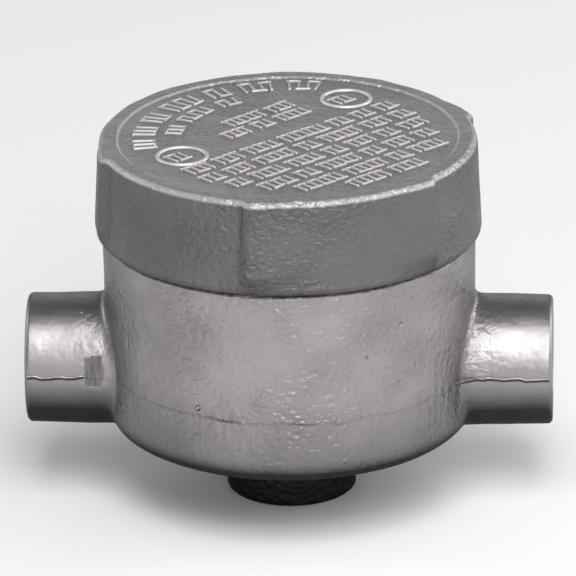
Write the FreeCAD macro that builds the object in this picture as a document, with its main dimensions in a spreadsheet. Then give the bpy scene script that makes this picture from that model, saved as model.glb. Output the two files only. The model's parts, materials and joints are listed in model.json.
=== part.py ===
import FreeCAD, Part
import os
import Sketcher

# Round cast-iron conduit body with a screw cover, in millimetres, +Z up.
# The origin is the centre of the bottom hub's mouth, so the body stands on that hub.
# The two side hubs lie along X, and the bottom hub, neck and cover share the Z axis.

doc = FreeCAD.newDocument("ConduitBody")

# The cover's top edge, the O-ring's section and the curved bars are drawn with this many flats
edgeFlatCount = 3
ringFlatCount = 6
barFlatCount = 7

# Straight raised bars on the cover's face, the first across its middle
barCount = 6

sizeTable = [
    # Hubs, all three tapped for the same trade size
    ("HubSpan", 155.5, "mouth to mouth of the two side hubs"),
    ("BottomHubLength", 20.9, "bottom hub below the vessel's underside"),
    ("HubLift", 0.05, "underside of a side hub's rim above the vessel's underside"),
    ("HubMouthRadius", 19.15, "outside of a hub at its mouth"),
    ("HubDraftAngle", 1.1, "pattern draft of a hub, degrees"),
    ("HubEdgeBevel", 0.6, "bevel round a hub's outer rim"),
    ("TapRadius", 13.2, "tapped hole in a hub, at the thread's major diameter"),
    ("TapBevel", 0.8, "countersink at the mouth of a tapped hole"),
    ("TapDepth", 19.0, "length of a tapped hole"),
    ("ThroatRadius", 10.4, "smooth wire throat behind the thread"),
    ("ThroatLipBevel", 1.0, "eased lips that guard the wires"),
    ("HubRootRadius", 3.6, "fillet where a side hub meets the vessel"),
    ("BottomRootBevel", 2.0, "fill where the bottom hub meets the vessel"),
    # Round vessel
    ("VesselHeight", 60.4, "vessel from its underside to the flat shoulder under the cover"),
    ("VesselTopRadius", 55.0, "outside of the wall at the shoulder"),
    ("VesselDraftAngle", 0.65, "pattern draft of the wall, degrees"),
    ("VesselCornerRadius", 5.0, "outer rounding round the underside"),
    ("ShoulderEdgeBevel", 0.5, "bevel of the shoulder's outer edge"),
    ("WallThickness", 5.8, "vessel wall at the shoulder"),
    ("FloorThickness", 5.1, "vessel floor"),
    ("CavityCornerBevel", 2.0, "fill in the corner round the floor"),
    # Threaded neck, and the cover that screws over it until its plate meets the neck
    ("ShoulderWidth", 4.5, "shoulder, from the neck's thread crest to the edge"),
    ("NeckWall", 4.5, "neck from thread crest to bore"),
    ("NeckBevel", 1.2, "lead-in round the top of the neck"),
    ("ThreadClearance", 0.35, "radial play of the cover's bore round the neck"),
    ("SeatGap", 0.35, "cover's lower edge above the shoulder when tight"),
    ("CoverHeight", 28.85, "cover from its lower edge to the top of its rim"),
    ("CoverPlate", 6.5, "thickness of the cover's top plate"),
    ("SkirtWall", 5.15, "skirt at its top, from the bore out"),
    ("CoverDraftAngle", 2.5, "pattern draft of the skirt, degrees"),
    ("CoverTopEdgeRadius", 2.0, "rounding round the top of the cover"),
    ("CoverLowEdgeBevel", 1.4, "bevel round the bottom of the skirt"),
    ("RimWidth", 5.5, "raised rim round the top face"),
    ("FaceRecess", 0.7, "top face below the raised rim"),
    # Wrench lugs, in pairs whose steps face each other
    ("LugPairs", 3, "pairs of lugs round the skirt"),
    ("LugSpacing", 60.0, "angle between the two corners of a pair, degrees"),
    ("LugRise", 2.1, "a lug's corner beyond the skirt"),
    ("LugRampAngle", 14.0, "angle over which a lug ramps up, degrees"),
    ("LugStepAngle", 2.6, "angle over which a lug steps down, degrees"),
    ("LugEdgeRadius", 0.8, "rounding of a lug's corner"),
    ("LugFootHeight", 2.0, "foot of the lugs above the skirt's lower edge"),
    ("LugFootAngle", 50.0, "slope under a lug, degrees from the horizontal"),
    ("LugTopDrop", 0.9, "top of the lugs below the rim"),
    ("LugLedge", 0.3, "level ledge on a lug before it slopes down"),
    ("CoverClocking", -130.0, "middle of the first pair from +X when tight, degrees"),
    # Plain raised bars and rings on the cover's face, angles from +X when the cover is tight
    ("BarRise", 0.5, "raised bars and rings above the face"),
    ("BarWidth", 4.4, "width of a straight bar"),
    ("BarPitch", 8.2, "from one straight bar to the next"),
    ("BarReach", 44.0, "ends of the straight bars from the axis"),
    ("BarAngle", 45.0, "direction of the straight bars, degrees"),
    ("OuterBarRadius", 43.8, "middle of the long curved bar"),
    ("OuterBarWidth", 6.2, "width of the long curved bar"),
    ("OuterBarStart", 82.0, "start of the long curved bar, degrees"),
    ("OuterBarSweep", 108.0, "sweep of the long curved bar, degrees"),
    ("InnerBarRadius", 35.2, "middle of the short curved bar"),
    ("InnerBarWidth", 4.4, "width of the short curved bar"),
    ("InnerBarStart", 106.0, "start of the short curved bar, degrees"),
    ("InnerBarSweep", 68.0, "sweep of the short curved bar, degrees"),
    ("FaceRingReach", 35.6, "middle of a raised ring from the axis"),
    ("FaceRingRadius", 7.8, "outside of a raised ring"),
    ("FaceRingWidth", 0.9, "width of a raised ring's line"),
    ("BackRingAngle", 66.0, "raised ring behind the bars, degrees"),
    ("FrontRingAngle", 207.0, "raised ring in front of the bars, degrees"),
    # O-ring in its groove in the skirt
    ("RingSection", 2.6, "diameter of the ring's section"),
    ("RingPlay", 0.3, "room between the ring and the neck, and round it in its groove"),
    ("RingLedge", 1.8, "skirt left below the groove"),
    # Ground screw on its boss
    ("BossX", 24.0, "ground screw to the right of the axis"),
    ("BossY", 24.0, "ground screw behind the axis"),
    ("BossRadius", 5.6, "ground boss"),
    ("BossHeight", 5.0, "ground boss above the floor"),
    ("ShankRadius", 2.4, "ground screw's shank, at the thread's major diameter"),
    ("ShankLength", 7.0, "ground screw below its flange"),
    ("ShankPlay", 0.05, "radial play of the shank in its hole"),
    ("ShankRoom", 1.0, "depth of the hole beyond the shank"),
    ("FlangeRadius", 5.2, "flange under the screw's head"),
    ("FlangeHeight", 0.9, "flange thickness"),
    ("HexAcrossFlats", 7.9, "head across its flats"),
    ("HexHeight", 3.4, "head above its flange"),
    ("HexDraftAngle", 4.0, "taper of the head, degrees"),
    ("SlotWidth", 1.2, "screwdriver slot across the head"),
    ("SlotDepth", 1.3, "screwdriver slot into the head"),
]

sizes = doc.addObject("Spreadsheet::Sheet", "Sizes")
for row, (alias, number, note) in enumerate(sizeTable, start=1):
    sizes.set(f"A{row}", alias)
    sizes.set(f"B{row}", str(number))
    sizes.set(f"C{row}", note)
    sizes.setAlias(f"B{row}", alias)
doc.recompute()

# Heights and radii that several pieces share, as expressions on the sheet
hubAxis = "(Sizes.BottomHubLength + Sizes.HubMouthRadius + Sizes.HubLift)"
shoulder = "(Sizes.BottomHubLength + Sizes.VesselHeight)"
neckRadius = "(Sizes.VesselTopRadius - Sizes.ShoulderWidth)"
coverBottom = f"({shoulder} + Sizes.SeatGap)"
coverTop = f"({coverBottom} + Sizes.CoverHeight)"
coverFace = f"({coverTop} - Sizes.FaceRecess)"
neckTop = f"({coverFace} - Sizes.CoverPlate)"
neckBore = f"({neckRadius} - Sizes.NeckWall)"
coverBore = f"({neckRadius} + Sizes.ThreadClearance)"
coverTopRadius = f"({coverBore} + Sizes.SkirtWall)"
cavityRadius = "(Sizes.VesselTopRadius - Sizes.WallThickness)"
floorHeight = "(Sizes.BottomHubLength + Sizes.FloorThickness)"
vesselBottomRadius = "(Sizes.VesselTopRadius - Sizes.VesselHeight * tan(Sizes.VesselDraftAngle))"
bossTop = f"({floorHeight} + Sizes.BossHeight)"
hubMouth = "(Sizes.HubSpan / 2)"
ringInner = f"({neckRadius} + Sizes.RingPlay)"
grooveRadius = f"({ringInner} + Sizes.RingSection + Sizes.RingPlay)"
grooveBottom = f"({coverBottom} + Sizes.RingLedge)"
grooveTop = f"({grooveBottom} + Sizes.RingSection + 2 * Sizes.RingPlay)"


def now(expression):
    """The number that an expression on the sheet comes to now."""
    return float(sizes.evalExpression(expression))


def addBody(label):
    body = doc.addObject("PartDesign::Body", label)
    body.Label = label
    return body


def addSketch(body, name, role, height=None):
    """An empty sketch on one of the body's origin planes, lifted by an expression if one is given."""
    sketch = body.newObject("Sketcher::SketchObject", name)
    plane = next(f for f in body.Origin.OriginFeatures if f.Role == role)
    sketch.AttachmentSupport = [(plane, "")]
    sketch.MapMode = "FlatFace"
    if height:
        sketch.setExpression("AttachmentOffset.Base.z", height)
    return sketch


def pinPoint(sketch, geometry, end, x, y):
    """Ties a point to the sketch's axes by two expressions, where "0" keeps it on an axis."""
    for kind, axis, expression in (("DistanceX", -2, x), ("DistanceY", -1, y)):
        if expression == "0":
            sketch.addConstraint(Sketcher.Constraint("PointOnObject", geometry, end, axis))
        else:
            distance = Sketcher.Constraint(kind, -1, 1, geometry, end, now(expression))
            index = sketch.addConstraint(distance)
            sketch.setExpression(f"Constraints[{index}]", expression)


def addOutline(sketch, corners):
    """A closed outline of straight lines through corners, each a pair of expressions."""
    points = [FreeCAD.Vector(now(x), now(y), 0) for x, y in corners]
    first = sketch.GeometryCount
    count = len(points)
    for k in range(count):
        sketch.addGeometry(Part.LineSegment(points[k], points[(k + 1) % count]), False)
    for k in range(count):
        following = first + (k + 1) % count
        sketch.addConstraint(Sketcher.Constraint("Coincident", first + k, 2, following, 1))
    for k, (x, y) in enumerate(corners):
        pinPoint(sketch, first + k, 1, x, y)


def addCircle(sketch, x, y, radius):
    centre = FreeCAD.Vector(now(x), now(y), 0)
    up = FreeCAD.Vector(0, 0, 1)
    circle = sketch.addGeometry(Part.Circle(centre, up, now(radius)), False)
    pinPoint(sketch, circle, 3, x, y)
    index = sketch.addConstraint(Sketcher.Constraint("Radius", circle, now(radius)))
    sketch.setExpression(f"Constraints[{index}]", radius)


def turn(body, kind, name, corners, axisHeight=None):
    """A full Revolution or Groove of an outline in the XZ plane.

    It turns about the Z axis, or about a line along X at the height that is given.
    """
    sketch = addSketch(body, name + "Sketch", "XZ_Plane")
    addOutline(sketch, corners)
    feature = body.newObject(kind, name)
    feature.Profile = sketch
    feature.ReferenceAxis = (sketch, ["V_Axis"])
    if axisHeight:
        level = now(axisHeight)
        ends = [FreeCAD.Vector(x, level, 0) for x in (0, now(hubMouth))]
        line = sketch.addGeometry(Part.LineSegment(*ends), True)
        pinPoint(sketch, line, 1, "0", axisHeight)
        pinPoint(sketch, line, 2, hubMouth, axisHeight)
        feature.ReferenceAxis = (sketch, ["Axis0"])
    feature.Angle = 360
    doc.recompute()
    return feature


def extrude(body, kind, name, height, length):
    """A Pad upwards or a Pocket downwards of an empty sketch at a height, to be drawn by the caller."""
    sketch = addSketch(body, name + "Sketch", "XY_Plane", height)
    feature = body.newObject(kind, name)
    feature.Profile = sketch
    feature.setExpression("Length", length)
    return feature


def polar(radius, angle):
    """A corner's pair of expressions from its radius and its angle in degrees."""
    return f"{radius} * cos({angle})", f"{radius} * sin({angle})"


def flats(x, y, radius, start, end, count):
    """Corners along a round edge of an outline, drawn with a few flats between two angles."""
    step = (end - start) / count
    return [
        (f"{x} + {radius} * cos({start + step * k})",
         f"{y} + {radius} * sin({start + step * k})")
        for k in range(count + 1)
    ]


def mirror(body, feature, name):
    """The same feature on the other side of the YZ plane."""
    mirrored = body.newObject("PartDesign::Mirrored", name)
    mirrored.Originals = [feature]
    plane = next(f for f in body.Origin.OriginFeatures if f.Role == "YZ_Plane")
    mirrored.MirrorPlane = (plane, [""])
    body.Tip = mirrored
    doc.recompute()
    return mirrored


def finishEdges(body, kind, name, amount, chosen):
    """A Fillet or Chamfer on the edges of the body's last feature that wholly pass a test."""
    base = body.Tip
    names = []
    for k, edge in enumerate(base.Shape.Edges, start=1):
        if all(chosen(point) for point in edge.discretize(Number=9)):
            names.append(f"Edge{k}")
    if not names:
        raise ValueError(f"{name} found no edge")
    feature = body.newObject(kind, name)
    feature.Base = (base, names)
    feature.setExpression("Radius" if kind == "PartDesign::Fillet" else "Size", amount)
    body.Tip = feature
    doc.recompute()


def roundEdges(body, name, radius, chosen):
    finishEdges(body, "PartDesign::Fillet", name, radius, chosen)


def bevelEdges(body, name, size, chosen):
    finishEdges(body, "PartDesign::Chamfer", name, size, chosen)


def onCircle(radius, height):
    """A test for points on a circle about the Z axis."""
    wantedRadius = now(radius)
    wantedHeight = now(height)
    slack = now("Sizes.SeatGap / 10")

    def chosen(point):
        across = (point.x**2 + point.y**2) ** 0.5
        return abs(across - wantedRadius) < slack and abs(point.z - wantedHeight) < slack

    return chosen


def onLugCorner(wallRadius, lugFoot):
    """A test for points on the drafted outer corner of a lug."""
    footRadius = now(f"{wallRadius} + Sizes.LugRise")
    footHeight = now(lugFoot)
    leanIn = now("tan(Sizes.CoverDraftAngle) / cos(Sizes.LugSpacing / 2)")
    slack = now("Sizes.LugRise / 3")

    def chosen(point):
        across = (point.x**2 + point.y**2) ** 0.5
        return across > footRadius - (point.z - footHeight) * leanIn - slack

    return chosen


def roundSideHub(radius, least, most):
    """A test for points about a side hub's axis, with their distance along X between two limits."""
    wantedRadius = now(radius)
    axisHeight = now(hubAxis)
    lowest = now(least)
    highest = now(most)
    slack = now(f"{hubMouth} * tan(Sizes.HubDraftAngle)")

    def chosen(point):
        across = (point.y**2 + (point.z - axisHeight) ** 2) ** 0.5
        return lowest < abs(point.x) < highest and abs(across - wantedRadius) < slack

    return chosen


def makeBodyCasting():
    """The one-piece casting: vessel, shoulder, neck, three hubs and the ground boss."""
    body = addBody("body_casting")
    turn(body, "PartDesign::Revolution", "Vessel", [
        ("0", "Sizes.BottomHubLength"),
        (vesselBottomRadius, "Sizes.BottomHubLength"),
        ("Sizes.VesselTopRadius", shoulder),
        (neckRadius, shoulder),
        (neckRadius, f"{neckTop} - Sizes.NeckBevel"),
        (f"{neckRadius} - Sizes.NeckBevel", neckTop),
        ("0", neckTop),
    ])
    roundEdges(body, "VesselCorner", "Sizes.VesselCornerRadius",
               onCircle(vesselBottomRadius, "Sizes.BottomHubLength"))
    bevelEdges(body, "ShoulderEdge", "Sizes.ShoulderEdgeBevel",
               onCircle("Sizes.VesselTopRadius", shoulder))

    # Each hub is drafted, widest at its mouth, and runs into the vessel before the cavity is cut
    hubRoot = f"({cavityRadius} / 2)"
    hubRootRadius = f"(Sizes.HubMouthRadius - ({hubMouth} - {hubRoot}) * tan(Sizes.HubDraftAngle))"
    sideHub = turn(body, "PartDesign::Revolution", "SideHub", [
        (hubRoot, hubAxis),
        (hubMouth, hubAxis),
        (hubMouth, f"{hubAxis} + Sizes.HubMouthRadius"),
        (hubRoot, f"{hubAxis} + {hubRootRadius}"),
    ], axisHeight=hubAxis)
    mirror(body, sideHub, "OtherSideHub")
    roundEdges(body, "SideHubRoots", "Sizes.HubRootRadius",
               roundSideHub("Sizes.HubMouthRadius", hubRoot, "Sizes.VesselTopRadius"))
    drop = f"{floorHeight} * tan(Sizes.HubDraftAngle)"
    turn(body, "PartDesign::Revolution", "BottomHub", [
        ("0", "0"),
        ("Sizes.HubMouthRadius", "0"),
        (f"Sizes.HubMouthRadius - {drop}", floorHeight),
        ("0", floorHeight),
    ])
    rootDrop = "Sizes.BottomHubLength * tan(Sizes.HubDraftAngle)"
    bevelEdges(body, "BottomHubRoot", "Sizes.BottomRootBevel",
               onCircle(f"Sizes.HubMouthRadius - {rootDrop}", "Sizes.BottomHubLength"))
    bevelEdges(body, "BottomHubRim", "Sizes.HubEdgeBevel",
               onCircle("Sizes.HubMouthRadius", "0"))
    bevelEdges(body, "SideHubRims", "Sizes.HubEdgeBevel",
               roundSideHub("Sizes.HubMouthRadius", f"{hubMouth} - Sizes.HubEdgeBevel",
                            f"{hubMouth} + Sizes.HubEdgeBevel"))

    # The cavity is wider than the neck's bore, so its wall slopes in at 45 degrees under the neck
    undercut = f"({cavityRadius} - {neckBore})"
    slopeStart = f"({shoulder} - Sizes.WallThickness)"
    turn(body, "PartDesign::Groove", "Cavity", [
        ("0", floorHeight),
        (cavityRadius, floorHeight),
        (cavityRadius, slopeStart),
        (neckBore, f"{slopeStart} + {undercut}"),
        (neckBore, neckTop),
        ("0", neckTop),
    ])
    bevelEdges(body, "CavityCorner", "Sizes.CavityCornerBevel", onCircle(cavityRadius, floorHeight))

    # Tapped holes with a smooth throat behind the thread, through to the cavity
    throatEnd = f"({cavityRadius} - Sizes.ThroatRadius)"
    sideTap = turn(body, "PartDesign::Groove", "SideTap", [
        (throatEnd, hubAxis),
        (hubMouth, hubAxis),
        (hubMouth, f"{hubAxis} + Sizes.TapRadius + Sizes.TapBevel"),
        (f"{hubMouth} - Sizes.TapBevel", f"{hubAxis} + Sizes.TapRadius"),
        (f"{hubMouth} - Sizes.TapDepth", f"{hubAxis} + Sizes.TapRadius"),
        (f"{hubMouth} - Sizes.TapDepth", f"{hubAxis} + Sizes.ThroatRadius"),
        (throatEnd, f"{hubAxis} + Sizes.ThroatRadius"),
    ], axisHeight=hubAxis)
    mirror(body, sideTap, "OtherSideTap")
    turn(body, "PartDesign::Groove", "BottomTap", [
        ("0", "0"),
        ("Sizes.TapRadius + Sizes.TapBevel", "0"),
        ("Sizes.TapRadius", "Sizes.TapBevel"),
        ("Sizes.TapRadius", "Sizes.TapDepth"),
        ("Sizes.ThroatRadius", "Sizes.TapDepth"),
        ("Sizes.ThroatRadius", floorHeight),
        ("0", floorHeight),
    ])
    bevelEdges(body, "SideThroatLips", "Sizes.ThroatLipBevel",
               roundSideHub("Sizes.ThroatRadius", f"{hubMouth} - Sizes.TapDepth - Sizes.TapBevel",
                            f"{hubMouth} - Sizes.TapDepth + Sizes.TapBevel"))
    bevelEdges(body, "OuterThroatLip", "Sizes.ThroatLipBevel",
               onCircle("Sizes.ThroatRadius", "Sizes.TapDepth"))
    bevelEdges(body, "FloorThroatLip", "Sizes.ThroatLipBevel",
               onCircle("Sizes.ThroatRadius", floorHeight))

    # Boss on the floor with a blind hole for the ground screw
    addBoss = extrude(body, "PartDesign::Pad", "GroundBoss", floorHeight, "Sizes.BossHeight")
    addCircle(addBoss.Profile[0], "Sizes.BossX", "Sizes.BossY", "Sizes.BossRadius")
    doc.recompute()
    screwHole = extrude(body, "PartDesign::Pocket", "GroundScrewHole", bossTop,
                        "Sizes.ShankLength + Sizes.ShankRoom")
    addCircle(screwHole.Profile[0], "Sizes.BossX", "Sizes.BossY",
              "Sizes.ShankRadius + Sizes.ShankPlay")
    doc.recompute()
    return body


def makeGroundScrew():
    """Slotted hexagon screw with a flange, drawn about its own axis with its flange at zero."""
    body = addBody("ground_screw")
    turn(body, "PartDesign::Revolution", "Shank", [
        ("0", "-Sizes.ShankLength"),
        ("Sizes.ShankRadius", "-Sizes.ShankLength"),
        ("Sizes.ShankRadius", "0"),
        ("Sizes.FlangeRadius", "0"),
        ("Sizes.FlangeRadius", "Sizes.FlangeHeight"),
        ("0", "Sizes.FlangeHeight"),
    ])
    head = extrude(body, "PartDesign::Pad", "HexHead", "Sizes.FlangeHeight", "Sizes.HexHeight")
    head.setExpression("TaperAngle", "-Sizes.HexDraftAngle")
    corner = "Sizes.HexAcrossFlats / 2 / cos(30)"
    addOutline(head.Profile[0], [
        (f"{corner} * cos({60 * k})", f"{corner} * sin({60 * k})") for k in range(6)
    ])
    doc.recompute()
    headTop = "(Sizes.FlangeHeight + Sizes.HexHeight)"
    slot = extrude(body, "PartDesign::Pocket", "Slot", headTop, "Sizes.SlotDepth")
    addOutline(slot.Profile[0], [
        (f"{x} * Sizes.HexAcrossFlats", f"{y} * Sizes.SlotWidth / 2")
        for x, y in ((-1, -1), (1, -1), (1, 1), (-1, 1))
    ])
    doc.recompute()
    body.setExpression("Placement.Base.x", "Sizes.BossX")
    body.setExpression("Placement.Base.y", "Sizes.BossY")
    body.setExpression("Placement.Base.z", bossTop)
    return body


def addFaceBars(body):
    """Low raised bars and rings on the cover's face, drawn before the cover is clocked."""
    bars = extrude(body, "PartDesign::Pad", "FaceBars", coverFace, "Sizes.BarRise")
    sketch = bars.Profile[0]
    along = "(Sizes.BarAngle - Sizes.CoverClocking)"
    for row in range(barCount):
        corners = []
        for end, edge in ((-1, -1), (1, -1), (1, 1), (-1, 1)):
            across = f"({edge} * Sizes.BarWidth / 2 - {row} * Sizes.BarPitch)"
            reach = f"({end} * sqrt(Sizes.BarReach ^ 2 - ({row} * Sizes.BarPitch) ^ 2))"
            corners.append((f"{reach} * cos({along}) - {across} * sin({along})",
                            f"{reach} * sin({along}) + {across} * cos({along})"))
        addOutline(sketch, corners)
    for name in ("OuterBar", "InnerBar"):
        inside = f"(Sizes.{name}Radius - Sizes.{name}Width / 2)"
        outside = f"(Sizes.{name}Radius + Sizes.{name}Width / 2)"
        start = f"Sizes.{name}Start - Sizes.CoverClocking"
        angles = [f"({start} + Sizes.{name}Sweep * {k} / {barFlatCount})" for k in range(barFlatCount + 1)]
        addOutline(sketch, [polar(inside, angle) for angle in angles]
                   + [polar(outside, angle) for angle in reversed(angles)])
    for name in ("BackRing", "FrontRing"):
        middle = polar("Sizes.FaceRingReach", f"(Sizes.{name}Angle - Sizes.CoverClocking)")
        addCircle(sketch, *middle, "Sizes.FaceRingRadius")
        addCircle(sketch, *middle, "(Sizes.FaceRingRadius - Sizes.FaceRingWidth)")
    doc.recompute()


def makeCover():
    """The cover: top plate with a raised rim, drafted skirt with six lugs, bore and ring groove.

    It is drawn with the middle of its first pair of lugs on +X and turned to where it comes tight.
    """
    body = addBody("cover")
    skirtFoot = f"({coverTopRadius} + Sizes.CoverHeight * tan(Sizes.CoverDraftAngle))"
    topEdgeX = f"({coverTopRadius} - Sizes.CoverTopEdgeRadius)"
    topEdgeY = f"({coverTop} - Sizes.CoverTopEdgeRadius)"
    turn(body, "PartDesign::Revolution", "Skirt", [
        ("0", coverBottom),
        (skirtFoot, coverBottom),
        *flats(topEdgeX, topEdgeY, "Sizes.CoverTopEdgeRadius", 0, 90, edgeFlatCount),
        (f"{coverTopRadius} - Sizes.RimWidth", coverTop),
        (f"{coverTopRadius} - Sizes.RimWidth - Sizes.FaceRecess", coverFace),
        ("0", coverFace),
    ])
    bevelEdges(body, "LowEdge", "Sizes.CoverLowEdgeBevel", onCircle(skirtFoot, coverBottom))

    # A lug is a ratchet tooth in plan, one of each hand in a pair, drafted like the skirt
    lugFoot = f"({coverBottom} + Sizes.LugFootHeight)"
    lugHeight = "(Sizes.CoverHeight - Sizes.LugTopDrop - Sizes.LugFootHeight)"
    wallRadius = f"({skirtFoot} - Sizes.LugFootHeight * tan(Sizes.CoverDraftAngle))"
    buriedRadius = f"({wallRadius} - 2 * Sizes.LugRise)"
    lugs = extrude(body, "PartDesign::Pad", "LugPair", lugFoot, lugHeight)
    lugs.setExpression("TaperAngle", "-Sizes.CoverDraftAngle")
    for hand in (1, -1):
        corner = f"({hand} * Sizes.LugSpacing / 2)"
        stepFoot = f"({corner} - {hand} * Sizes.LugStepAngle)"
        rampFoot = f"({corner} + {hand} * Sizes.LugRampAngle)"
        addOutline(lugs.Profile[0], [
            polar(buriedRadius, stepFoot),
            polar(wallRadius, stepFoot),
            polar(f"({wallRadius} + Sizes.LugRise)", corner),
            polar(wallRadius, rampFoot),
            polar(buriedRadius, rampFoot),
        ])
    pairs = body.newObject("PartDesign::PolarPattern", "LugPairs")
    pairs.Originals = [lugs]
    pairs.Axis = (lugs.Profile[0], ["N_Axis"])
    pairs.Angle = 360
    pairs.setExpression("Occurrences", "Sizes.LugPairs")
    body.Tip = pairs
    doc.recompute()
    roundEdges(body, "LugCorners", "Sizes.LugEdgeRadius", onLugCorner(wallRadius, lugFoot))

    # The lugs slope off above into the rounded rim, and below into the skirt
    outside = f"({wallRadius} + 2 * Sizes.LugRise)"
    lugTop = f"({coverTop} - Sizes.LugTopDrop)"
    roundingCentre = f"({coverTopRadius} - Sizes.CoverTopEdgeRadius)"
    roundingLevel = "(Sizes.CoverTopEdgeRadius - Sizes.LugTopDrop)"
    roundingReach = f"sqrt(Sizes.CoverTopEdgeRadius ^ 2 - {roundingLevel} ^ 2)"
    slopeTop = f"({roundingCentre} + {roundingReach} + Sizes.LugLedge)"
    turn(body, "PartDesign::Groove", "LugShoulders", [
        (slopeTop, lugTop),
        (outside, f"{lugTop} - ({outside} - {slopeTop})"),
        (outside, lugTop),
    ])
    footSlope = "tan(Sizes.LugFootAngle)"
    turn(body, "PartDesign::Groove", "LugFeet", [
        (wallRadius, lugFoot),
        (outside, lugFoot),
        (outside, f"{lugFoot} + ({outside} - {wallRadius}) * {footSlope}"),
    ])

    # Bored for the neck's thread, with the ring's groove near the mouth
    turn(body, "PartDesign::Groove", "Bore", [
        ("0", coverBottom),
        (coverBore, coverBottom),
        (coverBore, grooveBottom),
        (grooveRadius, grooveBottom),
        (grooveRadius, grooveTop),
        (coverBore, grooveTop),
        (coverBore, neckTop),
        ("0", neckTop),
    ])
    addFaceBars(body)
    body.setExpression("Placement.Rotation.Angle", "Sizes.CoverClocking")
    return body


def makeCoverRing():
    """The O-ring in the skirt's groove, round the root of the neck."""
    body = addBody("cover_o_ring")
    middle = f"({ringInner} + Sizes.RingSection / 2)"
    level = f"(({grooveBottom} + {grooveTop}) / 2)"
    section = flats(middle, level, "Sizes.RingSection / 2", 0, 360, ringFlatCount)
    turn(body, "PartDesign::Revolution", "Ring", section[:-1])
    return body


pieces = [makeBodyCasting(), makeGroundScrew(), makeCover(), makeCoverRing()]
doc.recompute()

for item in doc.Objects:
    if "Invalid" in item.State or "Error" in item.State:
        raise ValueError(f"{item.Label} failed to build")
for piece in pieces:
    if piece.Shape.isNull() or not piece.Shape.isValid() or len(piece.Shape.Solids) != 1:
        raise ValueError(f"{piece.Label} is not one valid solid")

os.makedirs("parts", exist_ok=True)
for piece in pieces:
    piece.Shape.exportStep(f"parts/{piece.Label}.step")
    print(piece.Label, round(piece.Shape.Volume), "mm3")
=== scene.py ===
import json
import math
import random

import bpy
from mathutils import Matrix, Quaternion, Vector, noise

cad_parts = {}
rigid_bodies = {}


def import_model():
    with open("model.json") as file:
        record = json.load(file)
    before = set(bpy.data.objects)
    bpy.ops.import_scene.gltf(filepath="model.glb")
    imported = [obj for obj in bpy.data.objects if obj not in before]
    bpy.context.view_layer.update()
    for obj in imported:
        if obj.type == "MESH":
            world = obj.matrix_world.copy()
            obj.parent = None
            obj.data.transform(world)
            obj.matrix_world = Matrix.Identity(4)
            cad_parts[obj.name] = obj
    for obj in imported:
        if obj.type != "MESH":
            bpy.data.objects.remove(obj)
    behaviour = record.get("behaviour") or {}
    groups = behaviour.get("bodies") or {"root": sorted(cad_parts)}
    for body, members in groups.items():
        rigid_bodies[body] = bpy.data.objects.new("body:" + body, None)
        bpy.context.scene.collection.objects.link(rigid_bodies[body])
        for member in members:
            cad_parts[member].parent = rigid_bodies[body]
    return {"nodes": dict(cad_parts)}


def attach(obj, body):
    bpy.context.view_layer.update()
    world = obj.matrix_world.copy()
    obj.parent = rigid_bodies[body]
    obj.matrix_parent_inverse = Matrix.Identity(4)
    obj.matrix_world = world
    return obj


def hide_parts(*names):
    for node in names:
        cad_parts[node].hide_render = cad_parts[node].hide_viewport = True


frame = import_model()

for item in list(bpy.data.objects):  # a new file's own cube, lamp and camera
    if item.name in ("Cube", "Light", "Camera"):
        bpy.data.objects.remove(item)
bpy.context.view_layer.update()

mm = 0.001
weldDistance = 0.01 * mm

# Heights and radii that several pieces share, in millimetres
conduitBody = {
    "hubSpan": 155.5,
    "hubAxis": 40.1,
    "hubRadius": 19.15,
    "hubDraft": 1.1,
    "vesselBottom": 21.2,
    "shoulder": 81.3,  # the machined ledge that the cover's foot stands over
    "vesselRadius": 55.0,
    "vesselDraft": 0.65,
    "neckTop": 103.3,
    "coverBottom": 81.65,
    "coverTop": 110.5,
    "threadPitch": 25.4 / 12,
}
halfSpan = conduitBody["hubSpan"] / 2
bodyDraft = math.tan(math.radians(conduitBody["vesselDraft"]))
hubSlope = math.tan(math.radians(conduitBody["hubDraft"]))


# Modelling helpers

def choose(*chosen):  # the first becomes the active one
    bpy.ops.object.select_all(action="DESELECT")
    for item in chosen:
        item.select_set(True)
    if chosen:
        bpy.context.view_layer.objects.active = chosen[0]


def applyModifier(obj, kind, **settings):
    choose(obj)
    modifier = obj.modifiers.new(kind.title(), kind)
    for name, value in settings.items():
        setattr(modifier, name, value)
    bpy.ops.object.modifier_apply(modifier=modifier.name)


def cutWith(obj, *tools, operation="DIFFERENCE"):
    for tool in tools:
        applyModifier(obj, "BOOLEAN", operation=operation, object=tool, solver="EXACT")
        bpy.data.objects.remove(tool)


def joined(name, parts):
    choose(*parts)
    if len(parts) > 1:
        bpy.ops.object.join()
    parts[0].name = name
    return parts[0]


def settled(obj):  # its place goes into its mesh
    choose(obj)
    bpy.ops.object.transform_apply(location=True, rotation=True, scale=True)
    return obj


def copyOf(obj):
    twin = obj.copy()
    twin.data = obj.data.copy()
    bpy.context.scene.collection.objects.link(twin)
    return twin


def arc(x, y, radius, start, end, steps):  # points of a rounding, angles in degrees
    turns = [math.radians(start + (end - start) * i / steps) for i in range(steps + 1)]
    return [(x + radius * math.cos(a), y + radius * math.sin(a)) for a in turns]


def run(start, end, steps):  # evenly spaced points of a straight, without its first
    (x, y), (farX, farY) = start, end
    return [(x + (farX - x) * i / steps, y + (farY - y) * i / steps) for i in range(1, steps + 1)]


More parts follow.
